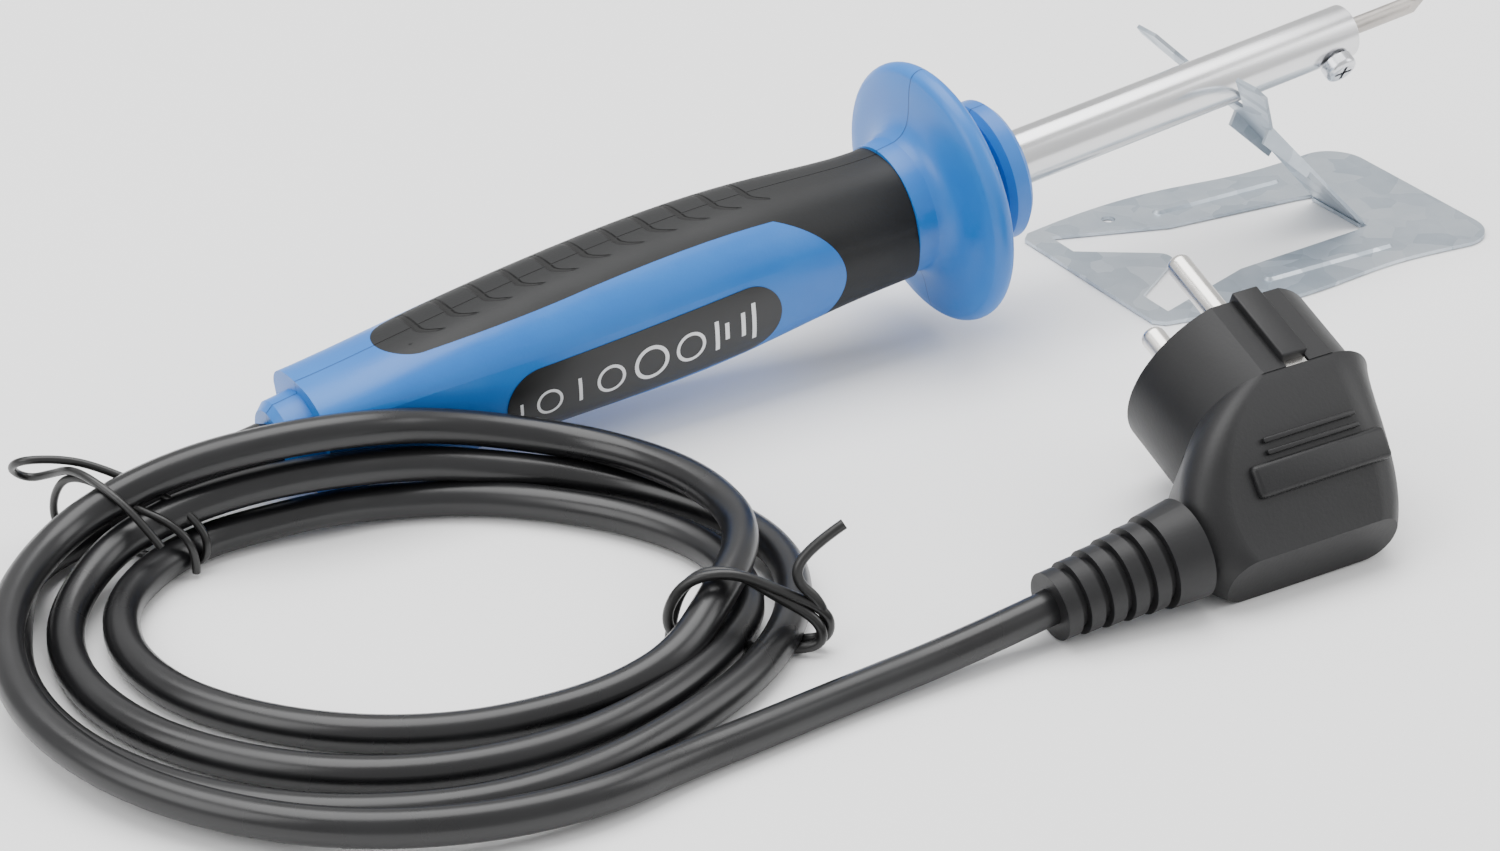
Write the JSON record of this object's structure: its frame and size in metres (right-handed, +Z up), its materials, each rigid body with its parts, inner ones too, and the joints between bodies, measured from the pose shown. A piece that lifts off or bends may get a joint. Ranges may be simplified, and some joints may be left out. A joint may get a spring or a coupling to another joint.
{
  "type": "soldering iron",
  "caption": "Mains soldering iron with a two-colour handle and hand guard, resting on a pressed sheet stand, its cord coiled beside it and ending in an angled earthed plug.",
  "frame": {"origin": "on the surface it stands on, under the middle of the iron and its stand, leaving out the cord and what is on it", "axes": "+X from the cord towards the tip, +Y to the left of the handle, +Z up"},
  "size_m": [0.3361, 0.1505, 0.0559],
  "materials": {
    "galvanised": "hot-dip galvanised sheet, spangled",
    "tip_plating": "plated copper bit, warm grey",
    "zinc": "bright zinc plate",
    "barrel": "polished stainless tube",
    "steel": "plain turned steel",
    "mica": "mica paper",
    "resistance_wire": "nickel chromium wire",
    "ceramic": "unglazed ceramic",
    "sleeving": "braided glass sleeving",
    "brass": "plain brass",
    "brown_core": "brown core insulation",
    "blue_core": "blue core insulation",
    "earth_core": "green core insulation",
    "black_plastic": "moulded plastic",
    "cord_jacket": "extruded PVC jacket",
    "blue_plastic": "moulded blue plastic, satin",
    "soft_grip": "moulded soft grip",
    "label": "printed film label",
    "cord_rubber": "moulded soft PVC",
    "tie_plastic": "plastic covered wire",
    "plug_rubber": "moulded PVC",
    "nickel": "nickel plated brass"
  },
  "bodies": {
    "stand": {"stand_plate": "galvanised", "stand_stem": "galvanised", "stand_arm_left": "galvanised", "stand_arm_right": "galvanised"},
    "iron": {"barrel_tube": "barrel", "tip_bush": "steel", "bit_sleeve": "steel", "inner_mica": "mica", "heater_winding": "resistance_wire", "outer_mica": "mica", "rear_bush": "ceramic", "tube_flange": "steel", "heat_baffle": "mica", "live_lead": "sleeving", "neutral_lead": "sleeving", "earth_lead": "sleeving", "terminal_block": "ceramic", "terminal_screws": "brass", "live_core": "brown_core", "neutral_core": "blue_core", "earth_core": "earth_core", "cord_clamp": "black_plastic", "clamp_screws": "zinc", "cord_jacket_end": "cord_jacket", "handle_shell_left": "blue_plastic", "handle_shell_right": "blue_plastic", "grip_left": "soft_grip", "grip_right": "soft_grip", "rating_label": "label", "shell_screws": "zinc", "strain_relief_boot": "cord_rubber", "cord_lead": "cord_jacket", "cord_coil": "cord_jacket", "cord_tail": "cord_jacket", "twist_tie_left": "tie_plastic", "twist_tie_right": "tie_plastic", "plug_body": "plug_rubber", "plug_pins": "nickel", "plug_earth_contacts": "nickel"},
    "tip": {"tip": "tip_plating"},
    "set_screw": {"set_screw": "zinc"}
  },
  "joints": [
    {"name": "iron_lift", "type": "slide", "parent": "stand", "child": "iron", "axis": [0, 0, 1], "range_m": [0, 0.06]},
    {"name": "tip_pull", "type": "slide", "parent": "iron", "child": "tip", "axis": [0.992, 0, 0.1264], "range_m": [0, 0.045]},
    {"name": "set_screw_back_out", "type": "slide", "parent": "iron", "child": "set_screw", "axis": [0.0688, -0.8387, -0.5403], "range_m": [0, 0.0025]}
  ]
}
